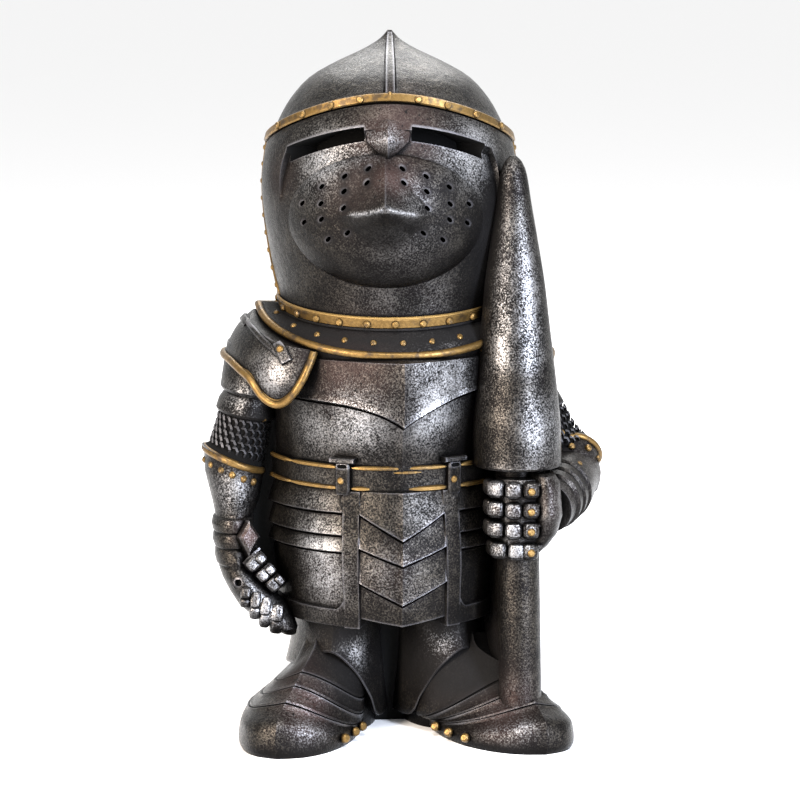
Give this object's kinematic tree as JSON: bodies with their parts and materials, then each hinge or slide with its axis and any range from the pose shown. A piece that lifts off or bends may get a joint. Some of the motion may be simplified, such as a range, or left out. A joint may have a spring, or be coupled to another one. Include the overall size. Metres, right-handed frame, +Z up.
{
  "type": "knight statue",
  "caption": "Squat helmeted knight figure cast in one piece, standing on its own two feet, one hand holding an upright lance.",
  "frame": {"origin": "On the floor plane, midway between the two feet, on the flat underside of the web that joins them", "axes": "+Z up along the figure's height, -Y the way the figure faces, +X towards the hand that holds the lance"},
  "size_m": [0.1027, 0.0759, 0.1753],
  "materials": {
    "painted_resin": "antiqued silver paint over black, gold trims, satin"
  },
  "bodies": {
    "root": {"knight_figure": "painted_resin"}
  },
  "joints": []
}
